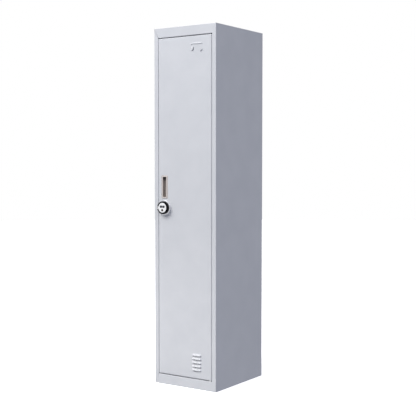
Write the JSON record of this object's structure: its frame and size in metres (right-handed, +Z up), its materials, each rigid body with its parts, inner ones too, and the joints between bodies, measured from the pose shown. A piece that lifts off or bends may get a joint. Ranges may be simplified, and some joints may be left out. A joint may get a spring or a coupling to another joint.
{
  "type": "locker cabinet",
  "caption": "Tall steel clothes locker with a hinged door, pressed vents, label holder, finger-pull handle and combination cam lock; shelf and hanging rail inside.",
  "frame": {"origin": "on the floor, at the centre of the cabinet's footprint (handle, lock and screw heads not counted)", "axes": "+Z up, -Y out of the front (the door side), +X to the hinge side, which is the right as seen from the front"},
  "size_m": [0.385, 0.474, 1.85],
  "materials": {
    "powder_coat": "pale grey powder coat, fine orange peel, semi-matt",
    "zinc_steel": "zinc plated, satin",
    "rail_chrome": "bright plated tube",
    "nylon": "white moulded nylon",
    "rubber": "soft black rubber",
    "handle_metal": "champagne anodised, satin",
    "lock_chrome": "bright chrome plate",
    "lock_black": "moulded, gloss black",
    "index_paint": "dark inlaid dot",
    "dial_black": "dark moulded number wheel",
    "brass": "turned brass, darkened, satin"
  },
  "bodies": {
    "cabinet": {"side_panel_left": "powder_coat", "side_panel_right": "powder_coat", "top_panel": "powder_coat", "floor_panel": "powder_coat", "back_panel": "powder_coat", "back_screws": "zinc_steel", "back_nuts": "zinc_steel", "shelf": "powder_coat", "shelf_bracket_left": "powder_coat", "shelf_bracket_right": "powder_coat", "hanging_rail": "rail_chrome", "rail_socket_left": "nylon", "rail_socket_right": "nylon", "strike_plate": "zinc_steel", "door_buffers": "rubber", "hinge_pin_top": "zinc_steel", "hinge_pin_bottom": "zinc_steel", "thrust_washer": "nylon"},
    "door": {"door_skin": "powder_coat", "door_stiffener": "powder_coat", "pivot_bush_top": "nylon", "pivot_bush_bottom": "nylon", "pivot_plate_top": "zinc_steel", "pivot_plate_bottom": "zinc_steel", "handle_cup": "handle_metal", "handle_retainer": "zinc_steel", "lock_collar": "lock_chrome", "lock_barrel": "lock_chrome", "lock_washer": "zinc_steel", "lock_nut": "zinc_steel"},
    "lock_knob": {"knob_ring": "lock_black", "knob_face": "lock_chrome", "index_mark": "index_paint", "dial_axle": "zinc_steel", "lock_spindle": "zinc_steel", "lock_cam": "zinc_steel", "cam_washer": "zinc_steel", "cam_screw": "zinc_steel"},
    "number_wheel_1": {"dial_1": "dial_black"},
    "number_wheel_2": {"dial_2": "dial_black"},
    "number_wheel_3": {"dial_3": "dial_black"},
    "number_wheel_4": {"dial_4": "dial_black"},
    "master_key_cylinder": {"key_cylinder": "brass"}
  },
  "joints": [
    {"name": "door_hinge", "type": "hinge", "parent": "cabinet", "child": "door", "pos_m": [0.1542, -0.218, 0.926], "axis": [0, 0, 1], "range_deg": [0, 110]},
    {"name": "lock_turn", "type": "hinge", "parent": "door", "child": "lock_knob", "pos_m": [-0.1273, -0.232, 0.9255], "axis": [0, 1, 0], "range_deg": [0, 90]},
    {"name": "dial_1_spin", "type": "hinge", "parent": "lock_knob", "child": "number_wheel_1", "pos_m": [-0.139, -0.2407, 0.931], "axis": [1, 0, 0], "continuous": true},
    {"name": "dial_2_spin", "type": "hinge", "parent": "lock_knob", "child": "number_wheel_2", "pos_m": [-0.1318, -0.2407, 0.931], "axis": [1, 0, 0], "continuous": true},
    {"name": "dial_3_spin", "type": "hinge", "parent": "lock_knob", "child": "number_wheel_3", "pos_m": [-0.1228, -0.2407, 0.931], "axis": [1, 0, 0], "continuous": true},
    {"name": "dial_4_spin", "type": "hinge", "parent": "lock_knob", "child": "number_wheel_4", "pos_m": [-0.1156, -0.2407, 0.931], "axis": [1, 0, 0], "continuous": true},
    {"name": "key_turn", "type": "hinge", "parent": "lock_knob", "child": "master_key_cylinder", "pos_m": [-0.1273, -0.24, 0.9129], "axis": [0, 1, 0], "range_deg": [0, 90]}
  ]
}
